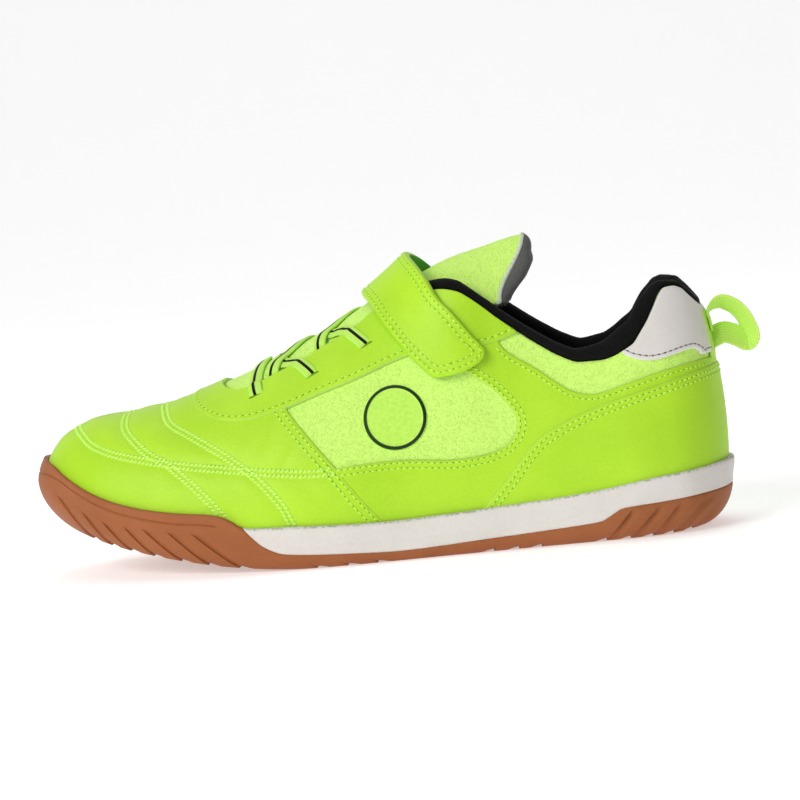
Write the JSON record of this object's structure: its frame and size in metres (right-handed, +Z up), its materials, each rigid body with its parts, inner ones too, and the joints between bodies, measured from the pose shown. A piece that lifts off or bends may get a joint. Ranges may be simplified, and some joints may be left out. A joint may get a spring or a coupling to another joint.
{
  "type": "indoor court shoe",
  "caption": "Low indoor court shoe for a child's left foot, with a hollow overlaid upper, padded collar and tongue, elastic laces, a wide instep strap and a wrapped rubber cup sole.",
  "frame": {"origin": "centre of the bounding box on the floor the shoe stands on", "axes": "+Z up; +X from the toe to the heel; -Y to the outer (lateral) side of this left shoe"},
  "size_m": [0.2448, 0.0841, 0.1006],
  "materials": {
    "gum_rubber": "satin gum rubber",
    "white_foam": "matt moulded foam",
    "insole_cloth": "brushed cloth",
    "mesh_cloth": "fine knitted mesh",
    "lime_synthetic": "soft matt synthetic leather",
    "white_synthetic": "matt synthetic leather",
    "black_lining": "brushed lining cloth",
    "tongue_cloth": "padded mesh",
    "lace_elastic": "flat woven elastic",
    "webbing": "flat woven webbing"
  },
  "bodies": {
    "root": {"outsole": "gum_rubber", "midsole": "white_foam", "insole": "insole_cloth", "upper": "mesh_cloth", "vamp_panel": "lime_synthetic", "eyestay": "lime_synthetic", "quarter_panel": "lime_synthetic", "heel_counter": "lime_synthetic", "heel_tab": "white_synthetic", "collar_lining": "black_lining", "tongue": "tongue_cloth", "lace_bar": "lace_elastic", "lace_cross_lower": "lace_elastic", "lace_cross_upper": "lace_elastic", "strap": "lime_synthetic", "pull_loop": "webbing"}
  },
  "joints": []
}
